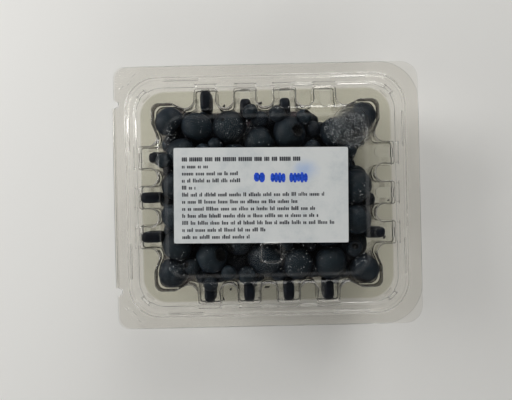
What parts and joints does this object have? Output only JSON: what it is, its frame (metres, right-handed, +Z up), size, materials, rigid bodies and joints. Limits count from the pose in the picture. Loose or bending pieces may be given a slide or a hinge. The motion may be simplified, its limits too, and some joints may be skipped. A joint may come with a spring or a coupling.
{
  "type": "punnet of blueberries",
  "caption": "Clear hinged snap-shut punnet with fluted, vented sides, packed with blueberries, with a plain stuck-on label on its lid.",
  "frame": {"origin": "centre of the footprint, at the level the base stands on", "axes": "+Z up through the lid, +X from the hinge towards the opening side, Y along the hinge"},
  "size_m": [0.124, 0.106, 0.036],
  "materials": {
    "clear_shell": "clear, glossy, slightly fogged inside",
    "berry_skin": "dark blue skin with a pale waxy bloom",
    "label_paper": "matt off-white paper with grey and blue marks"
  },
  "bodies": {
    "base": {"base": "clear_shell", "berries": "berry_skin"},
    "lid": {"lid": "clear_shell", "label": "label_paper"}
  },
  "joints": [
    {"name": "lid_hinge", "type": "hinge", "parent": "base", "child": "lid", "pos_m": [-0.0615, 0, 0.02225], "axis": [0, -1, 0], "range_deg": [0, 180]}
  ]
}
